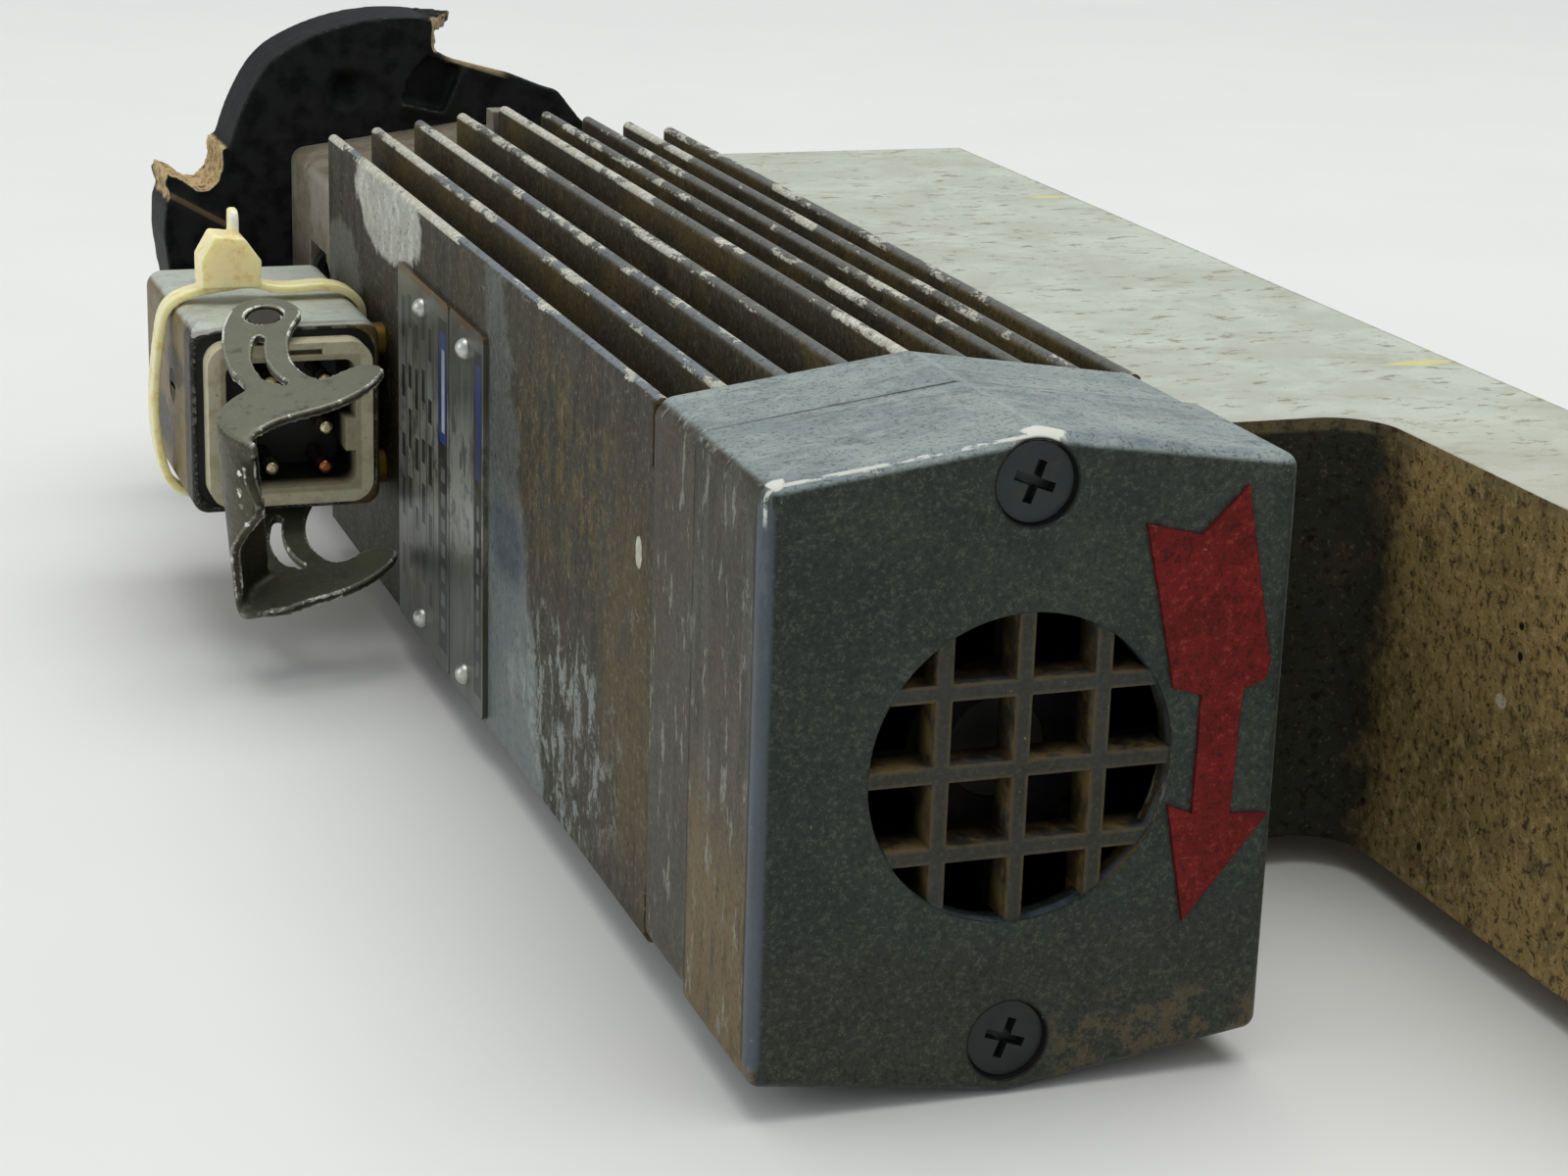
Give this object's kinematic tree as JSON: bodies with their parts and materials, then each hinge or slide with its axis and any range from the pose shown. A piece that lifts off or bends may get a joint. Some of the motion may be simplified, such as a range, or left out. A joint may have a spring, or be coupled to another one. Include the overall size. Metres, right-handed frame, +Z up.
{
  "type": "spindle motor",
  "caption": "Compact finned electric spindle motor with fan cover, plug connector with locking lever, dust hood and cast mounting bracket.",
  "frame": {"origin": "on the shaft axis in the plane of the tool-end face, at the root of the spindle nose", "axes": "+Y along the shaft out of the tool end, +Z up with the motor lying as used, +X towards the mounting bracket"},
  "size_m": [0.1666, 0.33, 0.0893],
  "materials": {
    "cover_paint": "worn grey enamel",
    "housing_paint": "worn grey paint with oil film",
    "flange_metal": "bare cast metal",
    "screw_black": "black oxide",
    "screw_zinc": "zinc plated",
    "arrow_red": "red enamel film",
    "lamination": "varnished laminations",
    "copper_winding": "enamelled copper",
    "die_cast": "die cast",
    "shaft_steel": "ground",
    "bearing_steel": "polished",
    "fan_plastic": "moulded",
    "spring_steel": "blued",
    "seal_rubber": "moulded",
    "plate_metal": "brushed plate",
    "connector_metal": "die cast, dirty",
    "insert_cream": "moulded",
    "contact_metal": "plated",
    "brass": "turned",
    "lever_steel": "stamped, worn",
    "tie_nylon": "natural nylon",
    "hood_black": "moulded, matte",
    "bracket_cast": "sand cast, top machined"
  },
  "bodies": {
    "motor": {"fan_cover": "cover_paint", "cover_screws": "screw_black", "rotation_arrow": "arrow_red", "rear_end_shield": "cover_paint", "rear_shield_screws": "screw_zinc", "motor_housing": "housing_paint", "front_end_shield": "flange_metal", "front_shield_screws": "screw_zinc", "bearing_cap": "die_cast", "bearing_cap_screws": "screw_zinc", "shaft_seal": "seal_rubber", "stator_core": "lamination", "winding_heads": "copper_winding", "front_bearing_outer_ring": "bearing_steel", "rear_bearing_outer_ring": "bearing_steel", "bearing_preload_washer": "spring_steel", "nameplate_large": "plate_metal", "nameplate_small": "plate_metal", "nameplate_rivets": "plate_metal", "connector_housing": "connector_metal", "connector_seal": "seal_rubber", "connector_insert": "insert_cream", "contact_pins": "contact_metal", "connector_nipple": "brass", "connector_spacers": "brass", "connector_screws": "screw_zinc", "earth_screw": "screw_zinc", "lever_pivot_pins": "shaft_steel", "cable_tie": "tie_nylon", "dust_hood": "hood_black", "hood_screws": "screw_black", "bracket_casting": "bracket_cast", "bracket_screws": "screw_zinc", "bracket_washers": "screw_zinc", "bracket_dowels": "bearing_steel"},
    "spindle": {"spindle_shaft": "shaft_steel", "rotor_core": "lamination", "rotor_end_rings": "die_cast", "cooling_fan": "fan_plastic", "fan_circlip": "spring_steel", "front_bearing_inner_ring": "bearing_steel", "rear_bearing_inner_ring": "bearing_steel"},
    "front_ball_set": {"front_bearing_balls": "bearing_steel"},
    "rear_ball_set": {"rear_bearing_balls": "bearing_steel"},
    "lever": {"locking_lever": "lever_steel"}
  },
  "joints": [
    {"name": "spindle_spin", "type": "hinge", "parent": "motor", "child": "spindle", "pos_m": [0, 0, 0], "axis": [0, 1, 0], "continuous": true},
    {"name": "front_ball_orbit", "type": "hinge", "parent": "motor", "child": "front_ball_set", "pos_m": [0, -0.018, 0], "axis": [0, 1, 0], "continuous": true},
    {"name": "rear_ball_orbit", "type": "hinge", "parent": "motor", "child": "rear_ball_set", "pos_m": [0, -0.2375, 0], "axis": [0, 1, 0], "continuous": true},
    {"name": "lever_swing", "type": "hinge", "parent": "motor", "child": "lever", "pos_m": [-0.0512, -0.085, 0.0136], "axis": [-0.1142, -0.2571, 0.9596], "range_deg": [-80, 1]}
  ],
  "couplings": [
    {"joint": "front_ball_orbit", "follows": "spindle_spin", "ratio": 0.3818},
    {"joint": "rear_ball_orbit", "follows": "spindle_spin", "ratio": 0.3808}
  ]
}
